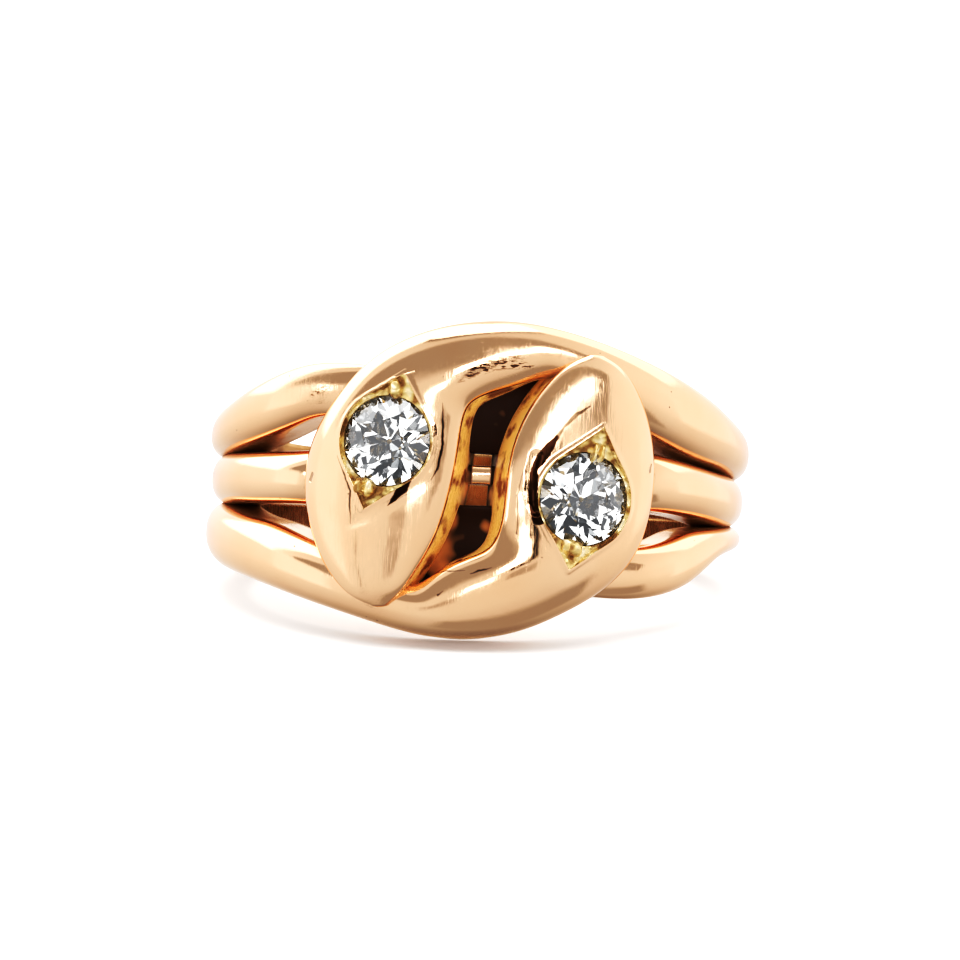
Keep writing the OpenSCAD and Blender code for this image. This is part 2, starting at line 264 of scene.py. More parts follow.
def scored(radius, angle, height, marks):  # presses soft marks into a face
    depth = np.clip((radius - ring["fingerRadius"] - scoring["metal"]) / scoring["fade"], 0, 1)
    for mark in marks:
        share = np.clip(1 - nearness(angle, height, mark["line"]) / mark["width"], 0, 1)
        radius = radius - mark["depth"] * depth * share * (2 - share)
    return radius


# the gap between the heads: painted shade low down, and painted amber light on its walls
gap = {
    "reach": 19,
    "fade": 5,
    "height": 4.7,
    "steepness": 3,
    "unpaintedFoot": 0.08,  # metal beside the finger hole that the painted shade and the painted amber light leave out
    "tall": 1.5,  # metal at the upper edge of a head's wall, at least
    "wallShadeMetal": 1.0,  # metal up to which there is painted shade on such a wall, and on a lower one
    "lowShadeMetal": 1.75,
    "gapShadeDepth": 0.7,
    "amberDepth": 0.25,
}


def gapTones(radius, angle, height, wall):
    turn = (angle + 180) % 360 - 180
    metal = radius - ring["fingerRadius"]
    inside = np.clip((gap["reach"] - np.abs(turn)) / gap["fade"] + 1, 0, 1)
    inside = inside * np.clip((gap["height"] - np.abs(height)) * gap["steepness"], 0, 1)
    inside = inside * np.clip(metal / gap["unpaintedFoot"], 0, 1)
    edge = metal[:, wall[0] > 0].max(axis=1, keepdims=True)
    shadeLimit = np.where(edge > gap["tall"], gap["wallShadeMetal"], gap["lowShadeMetal"])
    # painted shade: darkens the gold low down in the gap
    soot = inside * np.clip((shadeLimit - metal) / gap["gapShadeDepth"], 0, 1)
    # painted amber light on the inner walls, below their upper edge
    amber = inside * wall * np.clip((edge - metal) / gap["amberDepth"], 0, 1)
    return soot, amber


def placed(name, content):
    made = bpy.data.objects.new(name, content)
    bpy.context.scene.collection.objects.link(made)
    return made


def finished(name, work, materials):
    mesh = bpy.data.meshes.new(name)
    for material in materials:
        mesh.materials.append(material)
    work.to_mesh(mesh)
    print(name, "faces:", len(work.faces), "open edges:", sum(1 for e in work.edges if not e.is_manifold))
    work.free()
    return placed(name, mesh)


def closedMesh(name, points, faces, materials):  # with its faces turned outwards
    draft = bpy.data.meshes.new("draft")
    draft.from_pydata([tuple(p) for p in points], [], faces)
    work = bmesh.new()
    work.from_mesh(draft)
    bpy.data.meshes.remove(draft)
    if work.calc_volume(signed=True) < 0:
        bmesh.ops.reverse_faces(work, faces=work.faces)
    return finished(name, work, materials)


def skin(name, points, closed, materials):  # a tube of quads, with a flat cap at each end if it is open
    count, width = points.shape[:2]
    index = np.arange(count * width).reshape(count, width)
    along = np.roll(index, -1, axis=0) if closed else index[1:]
    near = index if closed else index[:-1]
    quads = np.stack([near, along, np.roll(along, -1, axis=1), np.roll(near, -1, axis=1)], axis=-1)
    faces = [tuple(map(int, q)) for q in quads.reshape(-1, 4)]
    if not closed:
        faces += [tuple(map(int, index[0])), tuple(map(int, index[-1][::-1]))]
    return closedMesh(name, points.reshape(-1, 3), faces, materials)


def carve(piece, cutter):
    cut = piece.modifiers.new("cut", "BOOLEAN")
    cut.operation = "DIFFERENCE"
    cut.solver = "EXACT"
    cut.material_mode = "TRANSFER"
    cut.object = cutter
    view = bpy.context.evaluated_depsgraph_get()
    mesh = bpy.data.meshes.new_from_object(piece.evaluated_get(view))
    piece.modifiers.clear()
    piece.data = mesh
    bpy.data.objects.remove(cutter)


weldReach = 0.0005


def welded(name, parts, seam):  # parts share a row of points, whose cap faces carry the seam material
    work = bmesh.new()
    materials = list(parts[0].data.materials)
    for part in parts:
        mesh = part.data
        remap = [materials.index(m) for m in mesh.materials]
        first = len(work.faces)
        work.from_mesh(mesh)
        work.faces.ensure_lookup_table()
        for face in work.faces[first:]:
            face.material_index = remap[face.material_index]
    caps = [f for f in work.faces if f.material_index == materials.index(seam)]
    bmesh.ops.delete(work, geom=caps, context="FACES_ONLY")
    bmesh.ops.remove_doubles(work, verts=work.verts, dist=weldReach)
    for part in parts:
        bpy.data.objects.remove(part)
    return finished(name, work, materials)


def shaded(piece, sharp):
    piece.data.shade_smooth()
    piece.data.set_sharp_from_angle(angle=math.radians(sharp))


def settled(piece, slotName, *nodes):  # lays a finished piece down, and hands it to the frame
    piece.data.transform(toRest)
    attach(piece, "root")
    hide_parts(*nodes)


# the gold: polished outside, brighter and yellower where a graver cut it, dull in the grooves, where dirt and
# painted shade darken it
# patches each have a scale per millimetre, a detail, where they start in the noise, and how steeply they rise
polish = {
    "light": (0.975, 0.64, 0.42),
    "deep": (0.95, 0.59, 0.37),
    "tone": (0.35, 2.0, 0.27273, 2.2),
    "roughness": 0.045,
    "wornRoughness": 0.16,
    "worn": (0.22, 3.0, 0.52, 5),
    "rippleDepth": 0.0000030,  # metres
    "rippleScale": 1.6,
    "strokes": (  # scratches: turn in degrees, width and length in millimetres, rarity
        ((8, 0, 0), 0.035, 1.6, 0.60),
        ((70, 20, 0), 0.030, 1.1, 0.63),
        ((95, -35, 10), 0.045, 2.2, 0.64),
        ((20, 60, 0), 0.028, 0.9, 0.64),
    ),
    "strokeSteepness": 9,
    "strokeDepth": 0.0000009,
    "strokeLeast": 0.25,  # share of it where the gold isn't worn
    "strokeRoughness": 0.05,
    "pit": {
        "scale": 1.5, "size": 0.055, "edge": 40, "rarity": 0.5, "rareEdge": 20, "dark": 0.7, "depth": 0.000012,
    },
    # dirt and painted shade where other gold is near: ambient occlusion darkens the colour
    "groove": (0.42, 0.19, 0.065),
    "grooveReach": 0.0013,
    "grooveSamples": 4,
    "grooveStart": 0.44,
    "grooveWander": 0.14,
    "grooveWanderScale": 2.0,
    "grooveSteepness": 3.4,
    "grooveDull": 0.75,
    "grooveRoughness": 0.3,
    # the inside is rougher, and painted darker as painted shade, with stains
    "bore": (0.68, 0.41, 0.21),
    "boreStain": (0.36, 0.18, 0.07),
    "boreStains": (0.8, 3.0, 0.42, 4),
    "boreMetal": 0.35,  # millimetres of metal up to which it is the inside
    "boreSteepness": 4,
    "boreRoughness": 0.2,
    # the walls of the gap between the heads, painted with amber light, and the painted shade low in the gap,
    # with dim brown patches
    "amber": (1.0, 0.62, 0.22),
    "amberStain": (0.26, 0.09, 0.025),
    "amberStains": (1.1, 4.0, 0.49, 8),
    "amberShare": 0.95,
    "amberRoughness": 0.22,
    "soot": (0.035, 0.012, 0.005),
    "shadeBrown": (0.8, 0.36, 0.12),
    "shadeBrownPatches": (0.9, 1.0, 0.5, 4),
    "gapShadeRoughness": 0.25,
    "dull": 0.85,  # how far the shine of both is gone
    "sheen": 0.12,
    # the spot in the middle of the bridge that the painted gap shade leaves out
    "tile": {
        "middle": 0.1, "half": 0.38, "rise": 0.18, "reach": 0.42, "low": 9.2, "top": 9.7, "side": 14, "rim": 9,
    },
    # painted dark lines, for the shade and dark reflections along creases, and a painted hairy dark reflection
    "crease": (0.03, 0.012, 0.006),
    "creaseSoft": 0.05,
    "hairyReflection": (0.13, 0.06, 0.03),
    "hairyReflectionSoft": 0.12,
    "bristles": (1.0, 3.0, 0.465, 12),
    "bristleTurn": 10,
    "bristleScale": (3.5, 13, 13),
    "frayScale": 3.0,
    "fray": (0.12, 0.12, 0),
    "faceReach": 10.2,  # the painted lines and the painted hairy reflection lie outside this radius
    "faceSteepness": 4,
}
graved = {
    "light": (1.0, 0.86, 0.60),
    "lightStart": (0.54, 9),
    "olive": (0.82, 0.62, 0.30),
    "oliveStart": (0.4, 8),
    "deep": (0.34, 0.19, 0.07),
    "shine": 0.6,
    "roughness": 0.14,
    "toneRoughness": 0.1,
    "toneScale": 1.7,
    "chipScale": 3.2,
    "chipDepth": 0.00007,
}


def colour(values):
    return (*values, 1.0)


def ringPlace(board):  # millimetres in the ring's own frame
    place = board.node("ShaderNodeTexCoord", output=3)
    return board.node("ShaderNodeMapping", {"vector_type": "TEXTURE"}, {
        "Vector": place,
        "Location": [v * millimetre for v in ring["restShift"]],
        "Rotation": (math.radians(-ring["restPitch"]), math.radians(ring["restRoll"]), 0),
        "Scale": (millimetre, millimetre, millimetre),
    })


def freshMaterial(name):
    made = bpy.data.materials.new(name)
    made.use_nodes = True
    return made, Board(made.node_tree)


def surface(board, inputs):
    shader = board.node("ShaderNodeBsdfPrincipled", None, inputs)
    board.node("ShaderNodeOutputMaterial", None, {"Surface": shader})


def bumped(board, height):
    return board.node("ShaderNodeBump", None, {"Strength": 1.0, "Distance": 1.0, "Height": height})


def clouds(board, place, scale, detail=2.0, output=0):
    return board.node("ShaderNodeTexNoise", None, {"Vector": place, "Scale": scale, "Detail": detail}, output)


def patches(board, place, scale, detail, start, steepness):  # 0 to 1, with soft edges
    return ((clouds(board, place, scale, detail) - start) * steepness).clamped()


def strokes(board, place, steepness, turn, width, length, rarity):  # thin scratches that all run one way
    laid = board.node("ShaderNodeMapping", None, {
        "Vector": place,
        "Rotation": [math.radians(t) for t in turn],
        "Scale": (1 / width, 1 / width, 1 / length),
    })
    return patches(board, laid, 1.0, 0.0, rarity, steepness)


def pits(board, place, pit):
    cells, tint = (
        board.node("ShaderNodeTexVoronoi", None, {"Vector": place, "Scale": pit["scale"]}, output)
        for output in range(2)
    )
    rare = (board.node("ShaderNodeSeparateColor", None, {0: tint}) - pit["rarity"]) * pit["rareEdge"]
    return ((pit["size"] - cells) * pit["edge"]).clamped() * rare.clamped()


def unshadedTile(right, back, rise, reach, tile):
    unshaded = ((tile["half"] - (right - tile["middle"]).size()) * tile["side"]).clamped()
    unshaded = unshaded * ((tile["reach"] - (rise - tile["rise"]).size()) * tile["side"]).clamped()
    unshaded = unshaded * ((tile["top"] - reach) * tile["rim"]).clamped()
    unshaded = unshaded * ((reach - tile["low"]) * tile["rim"]).clamped()
    return unshaded * (0 - back).clamped()


def spread(point):
    return (math.radians(point[0]) * ring["faceReach"], point[1], 0)


def markShare(board, spot, line, soft):  # 1 on a line of (angle, height, half width) points, 0 away from it
    best = 9.0
    for start, end in zip(line, line[1:]):
        run = Vector(spread(end)) - Vector(spread(start))
        offset = board.vector("SUBTRACT", spot, spread(start))
        share = board.vector("DOT_PRODUCT", offset, run / run.length_squared, output=1).clamped()
        along = board.node("ShaderNodeVectorMath", {"operation": "SCALE"}, {0: run, "Scale": share})
        away = board.vector("DISTANCE", offset, along, output=1) - share * (end[2] - start[2]) - start[2]
        best = away.maths("MINIMUM", away, best)
    return (0.5 - best / soft).clamped()


def polishedGold(name, look, creases=(), hairyReflection=()):
    made, board = freshMaterial(name)
    place = ringPlace(board)
    reach = board.vector("LENGTH", board.vector("MULTIPLY", place, (1, 1, 0)), output=1)
    right, back, rise = (board.node("ShaderNodeSeparateXYZ", None, {0: place}, axis) for axis in range(3))
    # painted shade low in the gap, left out in the middle of the bridge, and painted amber light on the gap's
    # walls
    unshaded = unshadedTile(right, back, rise, reach, look["tile"])
    soot = board.node("ShaderNodeAttribute", {"attribute_name": "soot"}, output=2) * (1 - unshaded)
    amber = board.node("ShaderNodeAttribute", {"attribute_name": "amber"}, output=2)
    worn = patches(board, place, *look["worn"])
    # dirt and painted shade in the grooves: the colour darkens where ambient occlusion finds gold nearby
    shelter = board.node(
        "ShaderNodeAmbientOcclusion", {"samples": look["grooveSamples"]}, {"Distance": look["grooveReach"]}, 1)
    wander = look["grooveStart"] + look["grooveWander"] * clouds(board, place, look["grooveWanderScale"])
    grooveDirtAndShade = ((wander - shelter) * look["grooveSteepness"]).clamped() * (1 - amber)
    # painted shade on the inside of the finger hole
    inside = ((ring["fingerRadius"] + look["boreMetal"] - reach) * look["boreSteepness"]).clamped()
    scratched = 0.0
    for stroke in look["strokes"]:
        scratched = scratched + strokes(board, place, look["strokeSteepness"], *stroke)
    pitted = pits(board, place, look["pit"])

    def patched(kind, plain, patch):
        return board.mixed(patches(board, place, *look[kind]), colour(look[plain]), colour(look[patch]))

    gold = board.mixed(inside, patched("tone", "deep", "light"), patched("boreStains", "bore", "boreStain"))
    gold = board.mixed(grooveDirtAndShade, gold, colour(look["groove"]))
    gold = board.mixed(pitted * look["pit"]["dark"], gold, colour(look["crease"]))
    # painted amber light on the gap's walls, then painted shade low in the gap
    gold = board.mixed(amber * look["amberShare"], gold, patched("amberStains", "amber", "amberStain"))
    gold = board.mixed(soot, gold, patched("shadeBrownPatches", "soot", "shadeBrown"))

    roughness = look["roughness"] + worn * (look["wornRoughness"] - look["roughness"])
    roughness = roughness + grooveDirtAndShade * look["grooveRoughness"] + (scratched * look["strokeRoughness"]).clamped()
    roughness = roughness + inside * look["boreRoughness"]
    roughness = roughness + amber * look["amberRoughness"] + soot * look["gapShadeRoughness"]
    height = clouds(board, place, look["rippleScale"], 1.0) * look["rippleDepth"]
    height = height - pitted * look["pit"]["depth"]
    height = height - scratched * (look["strokeLeast"] + worn) * look["strokeDepth"]

    if creases or hairyReflection:
        turn = right.maths("ARCTAN2", right, 0 - back) * ring["faceReach"]
        spot = board.node("ShaderNodeCombineXYZ", None, {0: turn, 1: rise})
        face = ((reach - look["faceReach"]) * look["faceSteepness"]).clamped()
        fray = board.vector("SUBTRACT", clouds(board, place, look["frayScale"], 2.0, 1), (0.5, 0.5, 0.5))
        frayed = board.vector("ADD", spot, board.vector("MULTIPLY", fray, look["fray"]))
        # painted dark lines: shade and dark reflections along creases
        for dark, depth, line in creases:
            share = markShare(board, frayed, line, look["creaseSoft"]) * face
            gold = board.mixed(share * dark, gold, colour(look["crease"]))
            if depth:
                height = height - share * depth
        if hairyReflection:
            laid = board.node("ShaderNodeMapping", None, {
                "Vector": place,
                "Rotation": (0, math.radians(look["bristleTurn"]), 0),
                "Scale": look["bristleScale"],
            })
            bristles = patches(board, laid, *look["bristles"])
        # painted hairy dark reflection, in streaks along these lines
        for line in hairyReflection:
            share = markShare(board, frayed, line, look["hairyReflectionSoft"]) * face
            gold = board.mixed(share * bristles, gold, colour(look["hairyReflection"]))

    dull = grooveDirtAndShade.maths("MAXIMUM", grooveDirtAndShade.maths("MAXIMUM", amber, soot), grooveDirtAndShade * look["grooveDull"])
    surface(board, {
        "Base Color": gold,
        "Metallic": 1 - dull * look["dull"],
        "Roughness": roughness,
        "Normal": bumped(board, height),
        "Specular IOR Level": look["sheen"],
    })
    return made


def gravedGold(name, look):
    made, board = freshMaterial(name)
    place = ringPlace(board)
    tone = clouds(board, place, look["toneScale"])
    gold = colour(look["deep"])
    for shade in ("olive", "light"):
        start, steepness = look[shade + "Start"]
        gold = board.mixed(((tone - start) * steepness).clamped(), gold, colour(look[shade]))
    chips = board.node("ShaderNodeTexVoronoi", None, {"Vector": place, "Scale": look["chipScale"]})
    surface(board, {
        "Base Color": gold,
        "Metallic": look["shine"],
        "Roughness": look["roughness"] + tone * look["toneRoughness"],
        "Normal": bumped(board, chips * look["chipDepth"]),
    })
    return made


def clearStone(name):
    made, board = freshMaterial(name)
    surface(board, {
        "Base Color": (1.0, 1.0, 1.0, 1.0),
        "Roughness": 0.0,
        "IOR": 2.417,
        "Transmission Weight": 1.0,
    })
    return made


# marks on the faces: how dark their painted shade and dark reflection is, how many metres deep, and a line of
# (angle, height, half width)
leftCreases = (
    (1.0, 0, ((-7.4, 2.75, 0), (-7.1, 1.9, 0.04), (-7.2, 0.95, 0.05), (-7.8, 0.27, 0.04), (-8.9, -0.16, 0))),
    (0.4, 0, ((-8.9, -0.16, 0), (-12.3, -0.58, 0.02), (-14.9, -0.95, 0.01))),
    (0.9, 0, ((-24.2, -1.92, 0), (-24.6, -1.24, 0.035), (-24.6, -0.67, 0.04), (-26, -0.06, 0.03),
        (-27.6, 0.63, 0))),
    (1.0, 0, ((-17, -1.22, 0), (-15.7, -0.9, 0.11), (-14.1, -0.5, 0.2), (-12.5, -0.05, 0.04))),
    (0, -0.00002, ((-24.8, 2.7, 0.01), (-21.1, 3.16, 0.02), (-17, 3.63, 0.02), (-13, 3.9, 0.01))),
    (0.45, 0.00003, ((-34.3, -0.3, 0.08), (-33.8, -0.08, 0.06))),
)
# painted hairy dark reflection on the left snake: lines of (angle, height, half width)
leftHairyReflection = (
    ((-4.4, 3.55, 0.03), (-1.5, 4.0, 0.16), (1.3, 4.25, 0.2), (5.1, 4.35, 0.17), (9.6, 4.3, 0.04)),
    ((-2.5, 4.05, 0.0), (0.5, 4.45, 0.03), (5.1, 4.62, 0.03), (8.0, 4.55, 0.0)),
    ((-38.6, 3.05, 0.06), (-36.5, 3.25, 0.13), (-33.6, 3.4, 0.1)),
)
rightCreases = (
    (1.0, 0, ((10.8, 0.9, 0), (10.4, 0.2, 0.15), (10.4, -0.45, 0.18), (11, -1, 0.25), (11.7, -1.4, 0.3))),
    (1.0, 0, ((10.4, 0.4, 0.1), (11.8, 0.85, 0.21), (13.2, 1.3, 0.17), (14.6, 1.7, 0.05))),
    (0.8, 0, ((14.4, 1.62, 0.08), (15.8, 2.05, 0.05), (17.9, 2.5, 0.09), (20.8, 2.9, 0.02))),
    (0.9, 0, ((8.4, 0.3, 0), (7.5, -0.62, 0.015), (7.7, -1.18, 0.025), (7.7, -2.05, 0.02))),
    (0.5, 0.00003, ((35.2, 0.6, 0.06), (35.5, 0.85, 0.04))),
    (0.8, 0, ((-7.5, -3.68, 0), (-5.9, -3.59, 0.03), (-1.9, -3.54, 0))),
    (0.9, 0, ((-0.7, -3.64, 0.01), (1.1, -3.51, 0.04), (3.2, -3.38, 0))),
    (0.9, 0, ((-6.9, -4.51, 0.03), (-5.8, -4.35, 0))),
)
plainGold = polishedGold("polishedGold", polish)
leftGold = polishedGold("leftSnakeGold", polish, leftCreases, leftHairyReflection)
rightGold = polishedGold("rightSnakeGold", polish, rightCreases)
cutGold = gravedGold("gravedGold", graved)
seamGold = bpy.data.materials.new("seam")  # marks the caps that go when two runs are welded
diamondClear = clearStone("oldCutDiamond")
print("materials made")


# how a head holds its stone: a pointed recess with cut walls, and a grain of gold at each end of the stone
leftSetting = {"angle": -18.2, "height": 1.26, "stone": 3.4, "slant": 15, "length": 5.3, "stoneTurn": 7}
rightSetting = {"angle": 20.8, "height": -0.62, "stone": 3.5, "slant": 12, "length": 5.5, "stoneTurn": 19}
recess = {
    "rim": 0.1,  # between the stone and the side of the recess
    "flare": 0.07,
    "brow": 0.42,  # from the girdle to the face
    "tipStart": 1.45,  # from the stone's middle to where the floor starts to rise
    "tipSlope": 0.5,
    "tipSteepness": 3,
    "tipCurve": 1.3,
    "tipWidth": 0.004,
    "tipFoot": 0.003,
    "draft": 0.06,
    "floor": 0.05,
    "overrun": 1.03,  # so that the points cut through
    "stations": 65,
    "levels": 5,
    "outlineSteps": 24,
    "top": 1.7,
    "lip": {"width": 0.13, "depth": -0.022},
}
seat = {"gap": 0.04, "depth": 0.43, "tip": 0.1, "throat": 0.9, "sides": 96}


def atSetting(setting):  # +Z outwards through the stone, its girdle at the origin
    return (
        Matrix.Rotation(math.radians(setting["angle"]), 4, "Z")
        @ Matrix.Translation((0, -ring["girdleReach"], setting["height"]))
        @ Matrix.Rotation(math.radians(90), 4, "X")
        @ Matrix.Rotation(math.radians(-setting["slant"]), 4, "Z")
    )


def halfWidth(setting, y, flare):  # of the recess: a disc, with straight sides from it to a point at each end
    length, disc = setting["length"] / 2 + flare, setting["stone"] / 2 + recess["rim"] + flare
    touch = disc**2 / length
    if abs(y) <= touch:
        return math.sqrt(disc**2 - y * y)
    return max(math.sqrt(disc**2 - touch**2) * (length - abs(y)) / (length - touch), recess["tipWidth"])


def recessOutline(setting):  # as a line of (angle, height) points over the head's face
    slant = math.radians(setting["slant"])
    steps = recess["outlineSteps"]
    line = []
    for side in (1, -1):
        for i in range(steps + 1):
            y = -side * math.cos(math.pi * i / steps) * setting["length"] / 2 * recess["overrun"]
            x = side * halfWidth(setting, y, recess["flare"])
            across = x * math.cos(slant) + y * math.sin(slant)
            rise = y * math.cos(slant) - x * math.sin(slant)
            turn = math.degrees(math.asin(across / ring["faceReach"]))
            line.append((setting["angle"] + turn, setting["height"] + rise))
    return line + line[:1]


def recessCutter(setting):  # steep beside the stone, with a floor that rises to a point at both tips
    halfLength = setting["length"] / 2 * recess["overrun"]
    levels, low, brow = recess["levels"], recess["floor"], recess["brow"]
    points = []
    for i in range(recess["stations"]):
        y = -math.cos(math.pi * i / (recess["stations"] - 1)) * halfLength
        brim = halfWidth(setting, y, recess["flare"])
        tip = min(max((abs(y) - recess["tipStart"]) / (halfLength - recess["tipStart"]), 0), 1)
        draft = recess["draft"] + min(tip * recess["tipSteepness"], 1) * recess["tipSlope"]
        floor = low + (brow - 2 * low) * tip ** recess["tipCurve"]
        foot = max(brim - draft * (brow - floor), recess["tipFoot"])
        for side in (-1, 1):
            for k in range(levels):
                z = floor + (recess["top"] - floor) * (k / (levels - 1)) ** 2
                points.append((side * (foot + (z - floor) * draft), y, z))
    index = np.arange(recess["stations"] * 2 * levels).reshape(recess["stations"], 2, levels)
    loops = [[int(n) for n in (*index[i, 0][::-1], *index[i, 1])] for i in range(recess["stations"])]
    faces = [tuple(loops[0]), tuple(loops[-1][::-1])]
    for near, far in zip(loops, loops[1:]):
        for j in range(2 * levels):
            k = (j + 1) % (2 * levels)
            faces.append((near[j], near[k], far[k], far[j]))
    made = closedMesh("recessCutter", points, faces, [cutGold])
    made.data.transform(atSetting(setting))
    return made


def turnedMesh(name, outline, sides, materials):  # outline of (radius, height) from bottom pole to top pole
    points = [(0, 0, outline[0][1])]
    for radius, height in outline[1:-1]:
        for i in range(sides):
            a = math.tau * i / sides
            points.append((radius * math.cos(a), radius * math.sin(a), height))
    points.append((0, 0, outline[-1][1]))
    rings = len(outline) - 2
    faces = []
    for i in range(sides):
        n = (i + 1) % sides
        faces.append((0, 1 + n, 1 + i))
        for r in range(rings - 1):
            a, b = 1 + r * sides, 1 + (r + 1) * sides
            faces.append((a + i, a + n, b + n, b + i))
        last = 1 + (rings - 1) * sides
        faces.append((last + i, last + n, len(points) - 1))
    return closedMesh(name, points, faces, materials)


def seatCutter(setting):
    radius = setting["stone"] / 2 + seat["gap"]
    depth = setting["stone"] * seat["depth"] + 2 * seat["gap"]
    top = recess["top"]
    outline = [(0, -depth), (seat["tip"], -depth), (radius, -seat["gap"])]
    outline += [(radius, seat["throat"]), (radius, top), (0, top)]
    made = turnedMesh("seatCutter", outline, seat["sides"], [cutGold])
    made.data.transform(atSetting(setting))
    return made


beads = {"detail": 4, "lift": 0.08, "splitEdge": 5, "lumps": (0.03, 0.03, 0.04), "lumpScale": 5}


def grain(setting, side, look):  # a bead of gold, pushed over the stone's edge
    work = bmesh.new()
    bmesh.ops.create_icosphere(work, subdivisions=beads["detail"], radius=1.0)
    for vert in work.verts:
        x, y, z = vert.co
        square = look["square"]
        x, y = (math.copysign(abs(v) ** (1 - square), v) for v in (x, y))
        split = look.get("split", 0) * math.exp(-((x * beads["splitEdge"]) ** 2)) * max(z, 0)
        vert.co = Vector((
            x * look["width"] / 2 + look["aside"],
            y * look["length"] / 2 + side * (setting["stone"] / 2 + look["out"]),
            z * look["rise"] + beads["lift"] - split,
        ))
        lump = noise.noise(vert.co * beads["lumpScale"] + Vector((look["seed"], 0, 0)))
        vert.co += Vector(beads["lumps"]) * lump
    made = finished("grain", work, [cutGold])
    made.data.transform(atSetting(setting))
    return made


faceSteps = {"snake": 104, "middle": 44}
sharpFrom = {"snake": 38, "middle": 60}
noseShape = {"turns": (22, 42, 60, 75, 86), "reach": 0.08, "dip": 0.3}
snakeSteps = {"row": 0.085, "even": 6, "headEnds": 62, "bodyStride": 3}


def band(name, rows, closed, materials, look, faces):
    radius, angle, height = bandPoints(rows, faces)
    radius = handmade(radius, angle, height, look["seed"])
    radius = scored(radius, angle, height, look["marks"])
    made = skin(name, onRing(radius, angle, height), closed, materials)
    wall = np.zeros((1, radius.shape[1]))  # 1 on the inner side wall
    wall[0, section["wall"] + faces:section["wall"] * 2 + faces + 2] = 1
    # the gap's painted shade and painted amber light, kept on each point
    for label, values in zip(("soot", "amber"), gapTones(radius, angle, height, wall)):
        tones = made.data.attributes.new(label, "FLOAT", "POINT")
        tones.data.foreach_set("value", values.astype(np.float32).reshape(-1))
    return made


def snake(name, look, setting):
    rows = [(*place, *metal) for place, metal in zip(look["head"], headMetal)]
    rows += [fullRow(row) for row in look["rest"]]
    rows = evened(fineRows(rows, snakeSteps["row"], False), snakeSteps["even"], False)
    rows = roundedNose(rows, noseShape)
    split = int(np.argmax(np.abs(rows[:, 0] - rows[0, 0]) > snakeSteps["headEnds"]))
    body = np.concatenate([rows[split:-1:snakeSteps["bodyStride"]], rows[-1:]])
    look = {**look, "marks": [{"line": recessOutline(setting), **recess["lip"]}, *look["marks"]]}
    materials = [look["gold"], cutGold, seamGold]
    head = band(name + "_head", rows[: split + 1], False, materials, look, faceSteps["snake"])
    body = band(name + "_body", body, False, materials, look, faceSteps["snake"])
    for part, end in ((head, -1), (body, -2)):  # the caps are the last two faces, near end first
        part.data.polygons[len(part.data.polygons) + end].material_index = materials.index(seamGold)
    carve(head, recessCutter(setting))
    carve(head, seatCutter(setting))
    grains = [grain(setting, side, bead) for side, bead in look["grains"]]
    made = welded(name, [head, body, *grains], seamGold)
    shaded(made, sharpFrom["snake"])
    return made


headMetal = [
    # at the outer edge, the inner edge and the crest, and how far the foot of the inner wall leans out
    (2.6, 2.6, 2.66, 0), (2.62, 2.62, 2.82, 0), (2.5, 2.58, 2.86, 0.15), (2.36, 2.52, 2.9, 0.3),
    (2.24, 2.48, 2.92, 0.4), (2.16, 2.46, 2.94, 0.5), (2.12, 2.46, 2.96, 0.5), (2.1, 2.46, 2.96, 0.5),
    (2.1, 2.46, 2.96, 0.5), (2.1, 2.44, 2.94, 0.5), (2.1, 2.42, 2.92, 0.5), (2.1, 2.38, 2.9, 0.5),
    (2.08, 2.32, 2.86, 0.45), (2.04, 2.24, 2.8, 0.4), (2, 2.16, 2.72, 0.3), (1.94, 2.06, 2.62, 0.15),
    (1.88, 1.94, 2.5, 0), (1.82, 1.82, 2.42, 0), (1.76, 1.72, 2.38, 0),
]


def fullRow(row):
    if len(row) == 5:  # straight along the finger
        angle, outer, inner, edge, crest = row
        return (angle, outer, angle, inner, edge, edge, crest, 0)
    return (*row, 0)


# rows over the head and neck: outer angle, outer height, inner angle, inner height
leftSnakeHead = [
    (-20, -4.97, -17, -4.93), (-23.4, -4.8, -14, -4.48), (-26.6, -4.36, -12.4, -3.88),
    (-30.3, -3.7, -10.2, -3.19), (-33.4, -2.86, -8.3, -2.42), (-36, -1.8, -6.7, -1.53),
    (-37.3, -0.73, -5.6, -0.58), (-37.4, 0.31, -4.7, 0.34), (-36.1, 1.27, -4.2, 1.25),
    (-33.4, 2.19, -3.8, 2.02), (-29.6, 3.15, -3, 2.6), (-25.3, 4.04, -1.8, 2.9), (-20.6, 4.75, 0.1, 3.12),
    (-14.6, 5.33, 2.7, 3.32), (-8, 5.74, 6, 3.54), (-0.5, 5.98, 9.6, 3.78), (7.2, 6.02, 14.3, 3.97),
    (15.3, 5.83, 19.6, 3.6), (24.3, 5.48, 25.9, 3.12),
]
